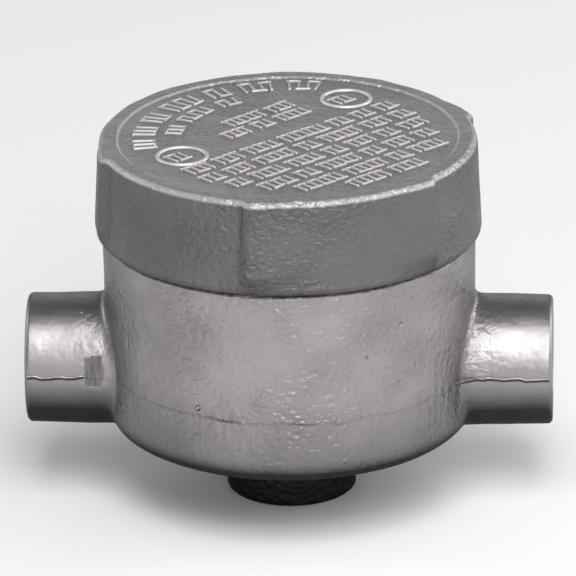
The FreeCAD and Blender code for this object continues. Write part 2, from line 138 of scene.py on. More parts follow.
# A profile of (radius, height) points is drawn out from one corner and spun about Z
def turned(name, profile, steps, closed=False):
    choose()
    bpy.ops.mesh.primitive_circle_add(vertices=3, radius=mm)
    obj = bpy.context.object
    obj.name = name
    bpy.ops.object.mode_set(mode="EDIT")
    bpy.ops.mesh.select_all(action="SELECT")
    bpy.ops.mesh.merge(type="CENTER")
    bpy.ops.transform.translate(value=(profile[0][0] * mm, 0, profile[0][1] * mm))
    path = profile + profile[:1] if closed else profile
    for here, there in zip(path, path[1:]):
        step = ((there[0] - here[0]) * mm, 0, (there[1] - here[1]) * mm)
        bpy.ops.mesh.extrude_region_move(TRANSFORM_OT_translate={"value": step})
    bpy.ops.mesh.select_all(action="SELECT")
    bpy.ops.mesh.spin(steps=steps, angle=2 * math.pi, center=(0, 0, 0), axis=(0, 0, 1))
    bpy.ops.mesh.select_all(action="SELECT")
    bpy.ops.mesh.remove_doubles(threshold=weldDistance)
    bpy.ops.mesh.normals_make_consistent(inside=False)
    bpy.ops.object.mode_set(mode="OBJECT")
    return obj


# A helical ridge: a closed section is put at its start and carried up the screw
ridge = {
    "sunk": 0.3,  # how far its foot sits inside the wall, and its crest where it has died away
    "sunkAtEnds": 0.2,
    "crestBand": 0.05,
}


def threadRidge(name, root, crest, start, end, pitch, steps, section):
    choose()
    bpy.ops.mesh.primitive_circle_add(vertices=4, radius=mm, fill_type="NGON")
    obj = bpy.context.object
    obj.name = name
    inward = -1 if crest < root else 1
    foot, halfBase, halfCrest = root - inward * ridge["sunk"], section["base"] / 2, section["crest"] / 2
    corners = [(foot, -halfBase), (foot, halfBase), (crest, halfCrest), (crest, -halfCrest)]
    for vertex, (radius, height) in zip(obj.data.vertices, corners):
        vertex.co = Vector((radius, 0, start + height)) * mm
    turns = (end - start) / pitch
    count = round(steps * turns)
    applyModifier(obj, "SCREW", axis="Z", angle=2 * math.pi * turns, screw_offset=(end - start) * mm,
                  steps=count, render_steps=count, use_normal_calculate=True)
    fade = section["fade"] * pitch
    low = root - inward * ridge["sunkAtEnds"]
    for vertex in obj.data.vertices:  # the ridge dies away at both its ends
        radius = math.hypot(vertex.co.x, vertex.co.y) / mm
        if abs(radius - crest) < ridge["crestBand"]:
            height = vertex.co.z / mm
            left = min(1, max(0, min(height - start, end - height) / fade))
            scale = (low + (crest - low) * left) / radius
            vertex.co.x *= scale
            vertex.co.y *= scale
    bpy.ops.object.mode_set(mode="EDIT")
    bpy.ops.mesh.select_all(action="DESELECT")
    bpy.ops.mesh.select_non_manifold()
    bpy.ops.mesh.edge_face_add()
    bpy.ops.mesh.select_all(action="SELECT")
    bpy.ops.mesh.normals_make_consistent(inside=False)
    bpy.ops.object.mode_set(mode="OBJECT")
    return obj


def laidInHub(obj, side):  # turned pieces have the mouth at zero and go in along -Z
    hand = {"left": -1, "right": 1, "bottom": 0}[side]
    if hand:
        obj.rotation_euler = (0, math.radians(90 * hand), 0)
        obj.location = Vector((halfSpan * hand, 0, conduitBody["hubAxis"])) * mm
    else:
        obj.rotation_euler = (math.pi, 0, 0)
    return settled(obj)


# Materials

def linear(hexColour):
    channels = [int(hexColour[i:i + 2], 16) / 255 for i in (1, 3, 5)]
    return (*[c / 12.92 if c <= 0.04045 else ((c + 0.055) / 1.055) ** 2.4 for c in channels], 1)


def newMaterial(name):
    material = bpy.data.materials.new(name)
    material.use_nodes = True
    material.node_tree.nodes.clear()
    return material, material.node_tree


def addNode(tree, kind, settings=None, links=None):
    node = tree.nodes.new(kind)
    for name, value in (settings or {}).items():
        if isinstance(name, int) or name in node.inputs:
            node.inputs[name].default_value = value
        else:
            setattr(node, name, value)
    for name, source in (links or {}).items():
        tree.links.new(source, node.inputs[name])
    return node


# Where the lacquer's look changes: how far out along X or up Z, in millimetres, or how far the surface leans up
changes = {
    "hubs": (57, 66),
    "left": (-15, -42),
    "right": (26, 46),
    "streaks": (58, 40),
    # painted shade: darker towards the bottom, between these heights
    "lowShade": (46, 27),
    # painted shade: surfaces that face down are darkened between these leans
    "underside": (0.02, -0.5),
    # painted light and shade on surfaces that face up
    "flat": (0.7, 0.95),
    # wear and painted highlight on roundings and bevels between these leans
    "edgeStart": (0.2, 0.5),
    "edgeEnd": (0.99, 0.86),
}


# Silver-grey lacquer over as-cast iron: a satin, slightly metallic skin that keeps the sand's pebbled grain
def lacquerOnCastIron(name, look):
    material, tree = newMaterial(name)
    place = addNode(tree, "ShaderNodeTexCoord")
    point = place.outputs["Object"]
    spread = addNode(tree, "ShaderNodeSeparateXYZ", {}, {"Vector": point})
    lean = addNode(tree, "ShaderNodeSeparateXYZ", {}, {"Vector": place.outputs["Normal"]}).outputs["Z"]
    across, height = spread.outputs["X"], spread.outputs["Z"]
    outward = addNode(tree, "ShaderNodeMath", {"operation": "ABSOLUTE"}, {0: across}).outputs["Value"]
    flattened = addNode(tree, "ShaderNodeMapping", {"Scale": (1, 1, look["ripple"])}, {"Vector": point})
    drawn = addNode(tree, "ShaderNodeMapping", {"Scale": (1, 1, look["streakStretch"])}, {"Vector": point})

    patterns = {}
    for key, detail, source in (
            ("grain", 1.5, flattened.outputs["Vector"]), ("swell", 2.0, point),
            ("patch", 2.0, point), ("streak", 1.0, drawn.outputs["Vector"])):
        pattern = addNode(tree, "ShaderNodeTexNoise", {
            "Scale": 1 / (look[key + "Size"] * mm), "Detail": detail, "Roughness": 0.5}, {"Vector": source})
        patterns[key] = pattern.outputs["Fac"]

    ranges = {}
    for key, source, (start, end), (low, high) in (
            ("grain", patterns["patch"], (0.38, 0.62), (look["grainLow"], 1)),
            ("hubs", outward, [x * mm for x in changes["hubs"]], (1, look["hubGrain"])),
            ("left", across, [x * mm for x in changes["left"]], (1, look["leftGrain"])),
            ("right", across, [x * mm for x in changes["right"]], (1, look["rightGrain"])),
            ("streaks", height, [z * mm for z in changes["streaks"]], (0, look["streaks"])),
            ("tone", patterns["patch"], (0.35, 0.65), (0, 1)),
            # painted shade: downward-facing surfaces take the under colour
            ("underside", lean, changes["underside"], (0, look["undersideShadeShare"])),
            # painted shade: the bottom hub is darkened below these heights
            ("bottomShade", height, (look["bottomShadeAbove"] * mm, look["bottomShadeBelow"] * mm), (0, 1)),
            # painted shade: the under colour is mixed in towards the bottom
            ("lowShade", height, [z * mm for z in changes["lowShade"]], (0, look["lowShadeShare"])),
            # painted light and shade: up-facing surfaces take the top colour
            ("flat", lean, changes["flat"], (0, look["paintedTopShare"])),
            # wear and painted highlight: roundings and bevels are lightened
            ("edgeStart", lean, changes["edgeStart"], (0, look["wearAndHighlightShare"])),
            ("edgeEnd", lean, changes["edgeEnd"], (0, 1)),
            ("gloss", patterns["swell"], (0.3, 0.7), (look["roughness"] - 0.05, look["roughness"] + 0.06))):
        ranges[key] = addNode(tree, "ShaderNodeMapRange", {
            "From Min": start, "From Max": end, "To Min": low, "To Max": high}, {"Value": source}).outputs["Result"]

    for pattern, keys in (("grain", ("grain", "hubs", "left", "right")), ("streak", ("streaks", "hubs"))):
        for key in keys:
            patterns[pattern] = addNode(tree, "ShaderNodeMath", {"operation": "MULTIPLY"}, {
                0: patterns[pattern], 1: ranges[key]}).outputs["Value"]
    relief = addNode(tree, "ShaderNodeMath", {"operation": "ADD"}, {
        0: patterns["grain"], 1: patterns["streak"]}).outputs["Value"]
    for x, y, z, radius, depth in look["marks"]:  # casting pits and a scratch, sunk into the skin
        away = addNode(tree, "ShaderNodeVectorMath", {"operation": "DISTANCE", 1: Vector((x, y, z)) * mm}, {0: point})
        dent = addNode(tree, "ShaderNodeMapRange", {"From Max": radius * mm, "To Min": depth, "To Max": 0}, {
            "Value": away.outputs["Value"]})
        relief = addNode(tree, "ShaderNodeMath", {"operation": "ADD"}, {
            0: relief, 1: dent.outputs["Result"]}).outputs["Value"]
    fineBump = addNode(tree, "ShaderNodeBump", {"Strength": 1.0, "Distance": look["grainDepth"] * mm}, {
        "Height": relief})
    coarseBump = addNode(tree, "ShaderNodeBump", {"Strength": 1.0, "Distance": look["swellDepth"] * mm}, {
        "Height": patterns["swell"], "Normal": fineBump.outputs["Normal"]})

    colour = addNode(tree, "ShaderNodeMix", {
        "data_type": "RGBA", 6: linear(look["light"]), 7: linear(look["dark"])}, {0: ranges["tone"]}).outputs[2]
    edges = addNode(tree, "ShaderNodeMath", {"operation": "MULTIPLY"}, {0: ranges["edgeStart"], 1: ranges["edgeEnd"]})
    for key, share in (("under", ranges["underside"]), ("bottomShade", ranges["bottomShade"]), ("under", ranges["lowShade"]),
                       ("paintedTopTone", ranges["flat"]), ("wearAndHighlight", edges.outputs["Value"])):
        colour = addNode(tree, "ShaderNodeMix", {"data_type": "RGBA", 7: linear(look[key])}, {
            0: share, 6: colour}).outputs[2]
    surface = addNode(tree, "ShaderNodeBsdfPrincipled", {
        "Metallic": look["metallic"], "Specular Tint": linear(look["edge"])}, {
        "Base Color": colour, "Roughness": ranges["gloss"], "Normal": coarseBump.outputs["Normal"]})
    addNode(tree, "ShaderNodeOutputMaterial", {}, {"Surface": surface.outputs["BSDF"]})
    return material


# Sizes and depths are in millimetres. Grain is drawn a little coarser than real sand's 0.5, so that it shows.
bodyLook = {
    "light": "#a9a5a6", "dark": "#9b9798",
    # painted shade: the under colour darkens the body's downward-facing surfaces
    "under": "#232222", "undersideShadeShare": 0.92,
    # painted shade: near-black colour on the bottom hub, below these heights
    "bottomShade": "#2b2a2a", "bottomShadeAbove": 24, "bottomShadeBelow": 18,
    "wearAndHighlight": "#969293", "wearAndHighlightShare": 0.0,
    # painted shade: up-facing surfaces such as the hub tops are darkened
    "paintedTopTone": "#6d696a", "paintedTopShare": 0.7,
    # painted shade: this share darkens the body towards the bottom
    "lowShadeShare": 0.4, "edge": "#bcbcbc",
    "grainSize": 1.9, "ripple": 1.2, "grainDepth": 1.1, "grainLow": 0.5,
    "hubGrain": 0.28, "leftGrain": 0.3, "rightGrain": 0.55,
    "streaks": 0.22, "streakSize": 1.2, "streakStretch": 0.07,
    "swellSize": 6.5, "swellDepth": 0.3, "patchSize": 26,
    "marks": (
        (34.0, -42.9, 68.2, 0.8, -1.2), (24.2, -49.1, 60.1, 0.7, -1.2), (33.4, -43.3, 50.2, 0.7, -1.2),
        (-46.5, -29.0, 58.0, 0.6, -1.0), (-46.5, -29.0, 57.2, 0.6, -1.0), (-46.4, -29.0, 56.4, 0.6, -1.0),
        (-46.4, -29.1, 55.6, 0.6, -1.0), (-46.3, -29.1, 54.8, 0.6, -1.0)),
    "roughness": 0.44, "metallic": 0.9,
}
coverLook = {
    "light": "#6c696a", "dark": "#636061",
    # painted shade: the under colour darkens the cover's downward-facing surfaces
    "under": "#2c2b2b", "undersideShadeShare": 0.6,
    "bottomShade": "#343333", "bottomShadeAbove": -50, "bottomShadeBelow": -60,  # below the cover, so it has none
    # wear and painted highlight: the rim's rounding is lightened
    "wearAndHighlight": "#c8c4c5", "wearAndHighlightShare": 0.75,
    # painted light: the cover's up-facing face is lightened
    "paintedTopTone": "#8d898a", "paintedTopShare": 0.7,
    "lowShadeShare": 0.0, "edge": "#bcbcbc",
    "grainSize": 1.9, "ripple": 1.3, "grainDepth": 1.6, "grainLow": 0.4,
    "hubGrain": 1.0, "leftGrain": 0.6, "rightGrain": 1.0,
    "streaks": 0.0, "streakSize": 1.2, "streakStretch": 0.07,
    "swellSize": 6.0, "swellDepth": 0.5, "patchSize": 26,
    "marks": (),
    "roughness": 0.44, "metallic": 0.45,
}
# painted highlight: the raised strokes get a lighter copy of the cover's lacquer, with their bevels lightened further
# as wear and highlight
raisedLook = {
    **coverLook, "light": "#8a8687", "dark": "#7b7778", "wearAndHighlight": "#e2dedf", "wearAndHighlightShare": 0.9, "paintedTopShare": 0.0,
    "grainDepth": 0.3, "swellDepth": 0.1,
}
bodyLacquer = lacquerOnCastIron("silver lacquer on sand-cast iron", bodyLook)
coverLacquer = lacquerOnCastIron("grey lacquer on sand-cast iron cover", coverLook)
raisedLacquer = lacquerOnCastIron("grey lacquer rubbed bright on raised strokes", raisedLook)


# Bare iron from the lathe and the tap: a faint roughness left by the tool, a little dulled by oil
def machinedIron():
    material, tree = newMaterial("turned and tapped bare cast iron")
    point = addNode(tree, "ShaderNodeTexCoord").outputs["Object"]
    cloud = addNode(tree, "ShaderNodeTexNoise", {"Scale": 1 / (4 * mm), "Detail": 3.0}, {"Vector": point})
    colour = addNode(tree, "ShaderNodeMix", {
        "data_type": "RGBA", 6: linear("#8d8a87"), 7: linear("#a3a09c")}, {0: cloud.outputs["Fac"]})
    toolMarks = addNode(tree, "ShaderNodeTexNoise", {"Scale": 1 / (0.5 * mm), "Detail": 1.0}, {"Vector": point})
    skin = addNode(tree, "ShaderNodeBump", {"Strength": 0.6, "Distance": 0.1 * mm}, {
        "Height": toolMarks.outputs["Fac"]})
    surface = addNode(tree, "ShaderNodeBsdfPrincipled", {"Metallic": 1.0, "Roughness": 0.38}, {
        "Base Color": colour.outputs[2], "Normal": skin.outputs["Normal"]})
    addNode(tree, "ShaderNodeOutputMaterial", {}, {"Surface": surface.outputs["BSDF"]})
    return material


# Cast iron dressed flat with a grinding wheel and lacquered over: upright scratches in a duller grey
def dressedIron():
    material, tree = newMaterial("lacquer over ground cast iron")
    point = addNode(tree, "ShaderNodeTexCoord").outputs["Object"]
    drawn = addNode(tree, "ShaderNodeMapping", {"Scale": (1, 1, 0.06)}, {"Vector": point})
    scratch = addNode(tree, "ShaderNodeTexNoise", {"Scale": 1 / (0.9 * mm), "Detail": 2.0}, {
        "Vector": drawn.outputs["Vector"]})
    spread = addNode(tree, "ShaderNodeMapRange", {"From Min": 0.35, "From Max": 0.65}, {
        "Value": scratch.outputs["Fac"]})
    colour = addNode(tree, "ShaderNodeMix", {
        "data_type": "RGBA", 6: linear("#676465"), 7: linear("#817d7e")}, {0: spread.outputs["Result"]})
    skin = addNode(tree, "ShaderNodeBump", {"Strength": 1.0, "Distance": 0.25 * mm}, {"Height": scratch.outputs["Fac"]})
    surface = addNode(tree, "ShaderNodeBsdfPrincipled", {"Metallic": 0.7, "Roughness": 0.5}, {
        "Base Color": colour.outputs[2], "Normal": skin.outputs["Normal"]})
    addNode(tree, "ShaderNodeOutputMaterial", {}, {"Surface": surface.outputs["BSDF"]})
    return material


# Painted shadow under the parting line: a dull, nearly black strip laid where the fin's shade falls
def paintedShadowUnderSeam():
    material, tree = newMaterial("painted shadow under the parting line")
    point = addNode(tree, "ShaderNodeTexCoord").outputs["Object"]
    shadowMottle = addNode(tree, "ShaderNodeTexNoise", {"Scale": 1 / (0.8 * mm), "Detail": 2.0}, {"Vector": point})
    colour = addNode(tree, "ShaderNodeMix", {
        "data_type": "RGBA", 6: linear("#242222"), 7: linear("#4a4747")}, {0: shadowMottle.outputs["Fac"]})
    surface = addNode(tree, "ShaderNodeBsdfPrincipled", {"Roughness": 0.85}, {"Base Color": colour.outputs[2]})
    addNode(tree, "ShaderNodeOutputMaterial", {}, {"Surface": surface.outputs["BSDF"]})
    return material


# Moulded nitrile rubber: soft black, with a faint bloom
def nitrileRubber():
    material, tree = newMaterial("moulded black nitrile rubber")
    point = addNode(tree, "ShaderNodeTexCoord").outputs["Object"]
    bloom = addNode(tree, "ShaderNodeTexNoise", {"Scale": 1 / (3 * mm), "Detail": 4.0}, {"Vector": point})
    colour = addNode(tree, "ShaderNodeMix", {
        "data_type": "RGBA", 6: linear("#141414"), 7: linear("#262626")}, {0: bloom.outputs["Fac"]})
    skin = addNode(tree, "ShaderNodeBump", {"Strength": 0.5, "Distance": 0.04 * mm}, {"Height": bloom.outputs["Fac"]})
    surface = addNode(tree, "ShaderNodeBsdfPrincipled", {"Roughness": 0.55, "IOR": 1.52}, {
        "Base Color": colour.outputs[2], "Normal": skin.outputs["Normal"]})
    addNode(tree, "ShaderNodeOutputMaterial", {}, {"Surface": surface.outputs["BSDF"]})
    return material


# Steel screw, zinc plated and dyed green as a ground screw is
def dyedScrew():
    material, tree = newMaterial("green dyed zinc-plated steel")
    point = addNode(tree, "ShaderNodeTexCoord").outputs["Object"]
    cloud = addNode(tree, "ShaderNodeTexNoise", {"Scale": 1 / (2 * mm), "Detail": 3.0}, {"Vector": point})
    colour = addNode(tree, "ShaderNodeMix", {
        "data_type": "RGBA", 6: linear("#1f7a3c"), 7: linear("#2c9a50")}, {0: cloud.outputs["Fac"]})
    surface = addNode(tree, "ShaderNodeBsdfPrincipled", {"Metallic": 0.8, "Roughness": 0.35}, {
        "Base Color": colour.outputs[2]})
    addNode(tree, "ShaderNodeOutputMaterial", {}, {"Surface": surface.outputs["BSDF"]})
    return material


bareIron = machinedIron()
groundIron = dressedIron()
seamShadowPaint = paintedShadowUnderSeam()


def giveFinishes(obj, *finishes):
    obj.data.materials.clear()
    for finish in finishes:
        obj.data.materials.append(finish)


def finishWhere(obj, finish, where):  # for the faces whose middles pass the test
    for face in obj.data.polygons:
        if where(face.center / mm):
            face.material_index = obj.data.materials.find(finish.name)


# The body: one iron casting with its three hubs, cored, tapped and threaded

casting = {
    "voxel": 0.85,
    "corner": 7.0,
    "stockTop": 86.0,
    "hubReach": {"left": 50, "right": 50, "bottom": 32},  # how far a hub's cone runs in from its mouth
    "hubStock": 2.0,  # beyond the mouth, faced off later
    "rootReach": 3.2,
    "rootRounds": 18,
    "rootSoftness": 0.6,
    "allOverRounds": 3,
    "allOverSoftness": 0.5,
    "unevenness": ((0.2, 15), (0.04, 5)),  # how much, and over what length
    "mouthEdge": 1.5,
}


def hubRadiusAt(fromMouth):
    return conduitBody["hubRadius"] + fromMouth * hubSlope


def vesselRadiusAt(height):
    return conduitBody["vesselRadius"] - (conduitBody["shoulder"] - height) * bodyDraft


def castBlank():
    bottom, corner, top = conduitBody["vesselBottom"], casting["corner"], casting["stockTop"]
    vessel = turned("vesselBlank", [
        (0, bottom), *arc(vesselRadiusAt(bottom) - corner, bottom + corner, corner, -90, 0, 8),
        (vesselRadiusAt(top), top), (0, top)], 160)
    parts = [vessel]
    stock = casting["hubStock"]
    for side, reach in casting["hubReach"].items():
        choose()
        bpy.ops.mesh.primitive_cone_add(
            vertices=128, radius1=hubRadiusAt(reach) * mm, radius2=hubRadiusAt(-stock) * mm,
            depth=(reach + stock) * mm, location=(0, 0, (stock - reach) / 2 * mm))
        parts.append(laidInHub(settled(bpy.context.object), side))
    blank = joined("body_casting_shell", parts)
    applyModifier(blank, "REMESH", mode="VOXEL", voxel_size=casting["voxel"] * mm)
    return blank


def rootWeight(point):  # one near a hub's root, where the pattern is filleted
    x, y, z = (c / mm for c in point)
    fromAxis = math.hypot(x, y)
    side = math.hypot(y, z - conduitBody["hubAxis"]) - hubRadiusAt(halfSpan - abs(x))
    wall = fromAxis - vesselRadiusAt(z)
    low = max(abs(fromAxis - hubRadiusAt(z)), abs(z - conduitBody["vesselBottom"]))
    nearest = min(max(abs(side), abs(wall)), low * 1.5)
    return max(0, 1 - nearest / casting["rootReach"])


def roundTheRoots(blank):
    group = blank.vertex_groups.new(name="roots")
    for vertex in blank.data.vertices:
        weight = rootWeight(vertex.co)
        if weight > 0:
            group.add([vertex.index], min(1, weight * 1.6), "REPLACE")
    applyModifier(blank, "SMOOTH", factor=casting["rootSoftness"], iterations=casting["rootRounds"],
                  vertex_group="roots")
    applyModifier(blank, "SMOOTH", factor=casting["allOverSoftness"], iterations=casting["allOverRounds"])
    blank.vertex_groups.clear()


def unevenSkin(obj, amount, size, reach=None):  # sand casting never comes out quite true
    for vertex, normal in [(v, v.normal.copy()) for v in obj.data.vertices]:
        if reach is None or reach(vertex.co):
            vertex.co += normal * noise.noise(vertex.co / (size * mm)) * amount * mm


body = castBlank()
roundTheRoots(body)
for amount, size in casting["unevenness"]:
    unevenSkin(body, amount, size)

# A spot ground flat on the left hub, with its face tilted a little upwards
dressed = {
    "from": (-60.6, -54.8),
    "tilt": 9.0,
    "level": 19.0,  # its distance from the hub's axis
    "inset": 0.3,
    "allowance": 0.06,
}
tilt = math.radians(dressed["tilt"])
facing = Vector((0, -math.cos(tilt), math.sin(tilt)))


def proudOfSpot(point):
    return (point - Vector((0, 0, conduitBody["hubAxis"]))).dot(facing) - dressed["level"]


for vertex in body.data.vertices:
    if dressed["from"][0] < vertex.co.x / mm < dressed["from"][1]:
        proud = proudOfSpot(vertex.co / mm)
        if proud > 0:
            vertex.co -= facing * proud * mm


def isDressed(middle):
    start, end = dressed["from"]
    withinSpot = start + dressed["inset"] < middle.x < end - dressed["inset"]
    return withinSpot and proudOfSpot(middle) > -dressed["allowance"]


print("casting blank", len(body.data.polygons))

neck = {"core": 49.35, "crest": 50.4, "bore": 46.0, "edge": 1.2, "foot": 70.0, "boreEdge": 0.6}
cavity = {"floor": 26.0, "radius": 49.2, "corner": 3.0, "slopeFoot": 75.5, "slope": 3.2}
tap = {
    "radius": 13.2, "mouth": 14.0, "bevel": 0.8, "depth": 19.0, "throat": 10.4, "lip": 1.6,
    "throatEnd": 24.0, "opened": 0.6,
    "opening": {"left": 27.0, "right": 27.0, "bottom": 25.2},  # where the throat opens into the cavity
    "reach": {"left": 42.0, "right": 42.0, "bottom": 28.0},
}

# The ledge under the cover: turned flat, with its outer edge sloped off beside the wall
ledge = {
    "edge": ((-1.4, conduitBody["shoulder"]), (-0.4, 80.9), (0.6, 79.8)),
    "inside": 40,
    "outside": 70,
    "above": 92,
}
wall, low = vesselRadiusAt(81), ledge["edge"][-1][1]
shoulderCut = turned("shoulderCut", [
    (ledge["inside"], conduitBody["shoulder"]), *[(wall + away, height) for away, height in ledge["edge"]],
    (ledge["outside"], low), (ledge["outside"], ledge["above"]), (ledge["inside"], ledge["above"])], 160, closed=True)
neckStock = turned("neckStock", [
    (0, neck["foot"]), (neck["core"], neck["foot"]), (neck["core"], conduitBody["neckTop"] - neck["edge"]),
    (neck["core"] - neck["edge"], conduitBody["neckTop"]), (0, conduitBody["neckTop"])], 192)
corner, edge, top = cavity["corner"], neck["boreEdge"], conduitBody["neckTop"]
cavityCut = turned("cavityCut", [
    (0, cavity["floor"]), *arc(cavity["radius"] - corner, cavity["floor"] + corner, corner, -90, 0, 6),
    (cavity["radius"], cavity["slopeFoot"]), (neck["bore"], cavity["slopeFoot"] + cavity["slope"]),
    (neck["bore"], top - edge), (neck["bore"] + 2 * edge, top + edge), (0, 104)], 192)
cutWith(body, shoulderCut)
cutWith(body, neckStock, operation="UNION")
cutWith(body, cavityCut)

edge, mouth = casting["mouthEdge"], hubRadiusAt(0)
for side in ("left", "right", "bottom"):
    mouthCut = laidInHub(turned("mouthCut", [
        (0, 0), (mouth - edge, 0), (mouth - edge * 0.55, -0.12 * edge), (mouth - edge * 0.12, -0.55 * edge),
        (mouth + 0.35, -edge * 1.6), (26, -edge * 1.6), (26, 5), (0, 5)], 128), side)
    opened = tap["throat"] + tap["opened"]
    tapCut = laidInHub(turned("tapCut", [
        (0, 1), (tap["mouth"] + 1, 1), (tap["radius"], -tap["bevel"]), (tap["radius"], -tap["depth"]),
        *arc(tap["throat"] + tap["lip"], -tap["depth"] - tap["lip"], tap["lip"], 90, 180, 5),
        (tap["throat"], -tap["throatEnd"]), (opened, -tap["opening"][side]),
        (opened, -tap["reach"][side]), (0, -tap["reach"][side])], 96), side)
    cutWith(body, mouthCut, tapCut)
print("body cut", len(body.data.polygons))


# Threads: the neck's outside and the three taps' inside, and the sizes of the cover's own

threads = {
    "neck": {"base": 1.75, "crest": 0.25, "fade": 0.35},
    "neckSpan": (84.2, 102.2),
    "tap": {"base": 1.5, "crest": 0.2, "fade": 0.6},
    "tapSpan": (-18.4, -1.0),
    "tapPitch": 25.4 / 14,
    "tapCrest": 12.15,
    "tapSteps": 48,
    "steps": 96,  # to a turn
    "cover": {"base": 1.6, "crest": 0.25, "fade": 0.35},
    "coverCrest": 49.75,
}
pitch = conduitBody["threadPitch"]
threads["coverSpan"] = (87.9 + 0.5 * pitch, 101.8)  # it starts clear of the ring's groove
bodyParts = [body, threadRidge(
    "neckThread", neck["core"], neck["crest"], *threads["neckSpan"], pitch, threads["steps"], threads["neck"])]
for side in ("left", "right", "bottom"):
    tapped = threadRidge("tapThread", tap["radius"], threads["tapCrest"], *threads["tapSpan"],
                         threads["tapPitch"], threads["tapSteps"], threads["tap"])
    bodyParts.append(laidInHub(tapped, side))
print("threads cut")


# The parting line left by the two halves of the mould: a thin wavy fin at the hubs' height, with a strip of painted
# shadow under it

seam = {
    "height": 41.4,
    "wire": 0.38,
    "wander": 0.6,
    "shadowDrop": 0.5,
    "shadowWire": 0.42,
    "onVessel": 0.12,  # how much of the fin is left round the vessel, and of the painted shadow strip
    "shadowOnVessel": 0.03,
    "onSpot": 0.08,
    "hubPoints": 28,
    "wallPoints": 120,
    "clear": 5,  # degrees kept clear of a hub's root
    "start": 0.9,
    "step": 0.8,
    "proud": 0.06,
    "slowWave": 0.16,  # waves to a millimetre, and how the fin comes and goes round the vessel
    "quickWave": 0.5,
    "patchWave": 0.09,
    "patchShare": 0.36,
}


def seamPath(side):  # in plan, from one hub's mouth round the vessel to the other's
    wall = vesselRadiusAt(seam["height"])
    flank = hubRadiusAt(15) - 0.05
    turn = math.degrees(math.asin(flank / wall))
    steps = [i * seam["step"] for i in range(seam["hubPoints"])]
    plan = [(-halfSpan + seam["start"] + step, -hubRadiusAt(step) + seam["proud"]) for step in steps]
    plan += arc(0, 0, wall, 180 + turn + seam["clear"], 360 - turn - seam["clear"], seam["wallPoints"])
    plan += [(-x, y) for x, y in reversed(plan[:seam["hubPoints"]])]
    return [Vector((x, y * side, seam["height"])) for x, y in plan]


seamShadowLines = []
# the second pass lays the painted shadow: a dark wire just below the fin
for drop, wire, onVessel in (
        (0, seam["wire"], seam["onVessel"]), (seam["shadowDrop"], seam["shadowWire"], seam["shadowOnVessel"])):
    for side in (1, -1):
        line = bpy.data.curves.new("seamLine", "CURVE")
        line.dimensions = "3D"
        line.bevel_depth = mm
        line.bevel_resolution = 1
        line.use_fill_caps = True
        spline = line.splines.new("POLY")
        path = seamPath(side)
        spline.points.add(len(path) - 1)
        for spot, point in zip(spline.points, path):
            patchy = max(0, noise.noise(Vector((point.x * seam["patchWave"], side * 5.0, 0)))) * seam["patchShare"]
            kept = min(1, max(onVessel + patchy, (abs(point.x) - 50) / 6))  # whole on the hubs, faint on the vessel
            if point.y < 0 and dressed["from"][0] < point.x < dressed["from"][1]:
                kept = seam["onSpot"]
            slow, quick = seam["slowWave"], seam["quickWave"]
            wave = noise.noise(Vector((point.x * slow, point.y * slow, side * 3.0)))
            ripple = noise.noise(Vector((point.x * quick, point.y * quick, side * 7.0)))
            lifted = point + Vector((0, 0, (wave * 1.6 + ripple * 0.6) * seam["wander"] - drop))
            spot.co = (*(lifted * mm), 1)
            spot.radius = wire * kept * (1 + 0.3 * ripple)
        fin = bpy.data.objects.new("seamFin", line)
        bpy.context.scene.collection.objects.link(fin)
        choose(fin)
        bpy.ops.object.convert(target="MESH")
        (seamShadowLines if drop else bodyParts).append(fin)


# Two beads of iron where the sand had broken away, little domes standing out of the skin
beads = {
    "onVessel": ((-25.0, -48.7, 43.9), 0.75),
    "onLeftHub": ((-61.1, -8.6, 57.6), 0.75),
}
beadLumps = {"share": 0.35, "size": 0.6}
for middle, size in beads.values():
    choose()
    bpy.ops.mesh.primitive_ico_sphere_add(subdivisions=3, radius=size * mm)
    bead = bpy.context.object
    for vertex in bead.data.vertices:
        lump = noise.noise(vertex.co / (beadLumps["size"] * mm) + Vector(middle))
        vertex.co *= 1 + beadLumps["share"] * lump
    bead.location = Vector(middle) * mm
    bodyParts.append(settled(bead))

machined = {
    "neckFrom": 81.2,
    "neckReach": 50.6,
    "bottomBelow": 20.0,
    "bottomReach": 14.6,
    "sidesFrom": 52.0,
    "sideReach": 14.9,
}


def isMachined(middle):  # the neck, and the three tapped holes
    x, y, z = middle
    fromAxis = math.hypot(x, y)
    if z > machined["neckFrom"] and fromAxis < machined["neckReach"]:
        return True
    if z < machined["bottomBelow"]:
        return fromAxis < machined["bottomReach"]
    return abs(x) > machined["sidesFrom"] and math.hypot(y, z - conduitBody["hubAxis"]) < machined["sideReach"]


body = joined("body_casting_shell", bodyParts)
giveFinishes(body, bodyLacquer, bareIron, groundIron)
finishWhere(body, bareIron, isMachined)
finishWhere(body, groundIron, isDressed)
# the painted shadow strips under the fin are joined into the body
for line in seamShadowLines:
    giveFinishes(line, seamShadowPaint)
body = joined("body_casting_shell", [body, *seamShadowLines])
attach(body, "box")
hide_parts("body_casting")
print("body done", len(body.data.polygons))


# The cover: a cast cap with six ratchet lugs, a raised rim round its face, bore, ring groove and thread

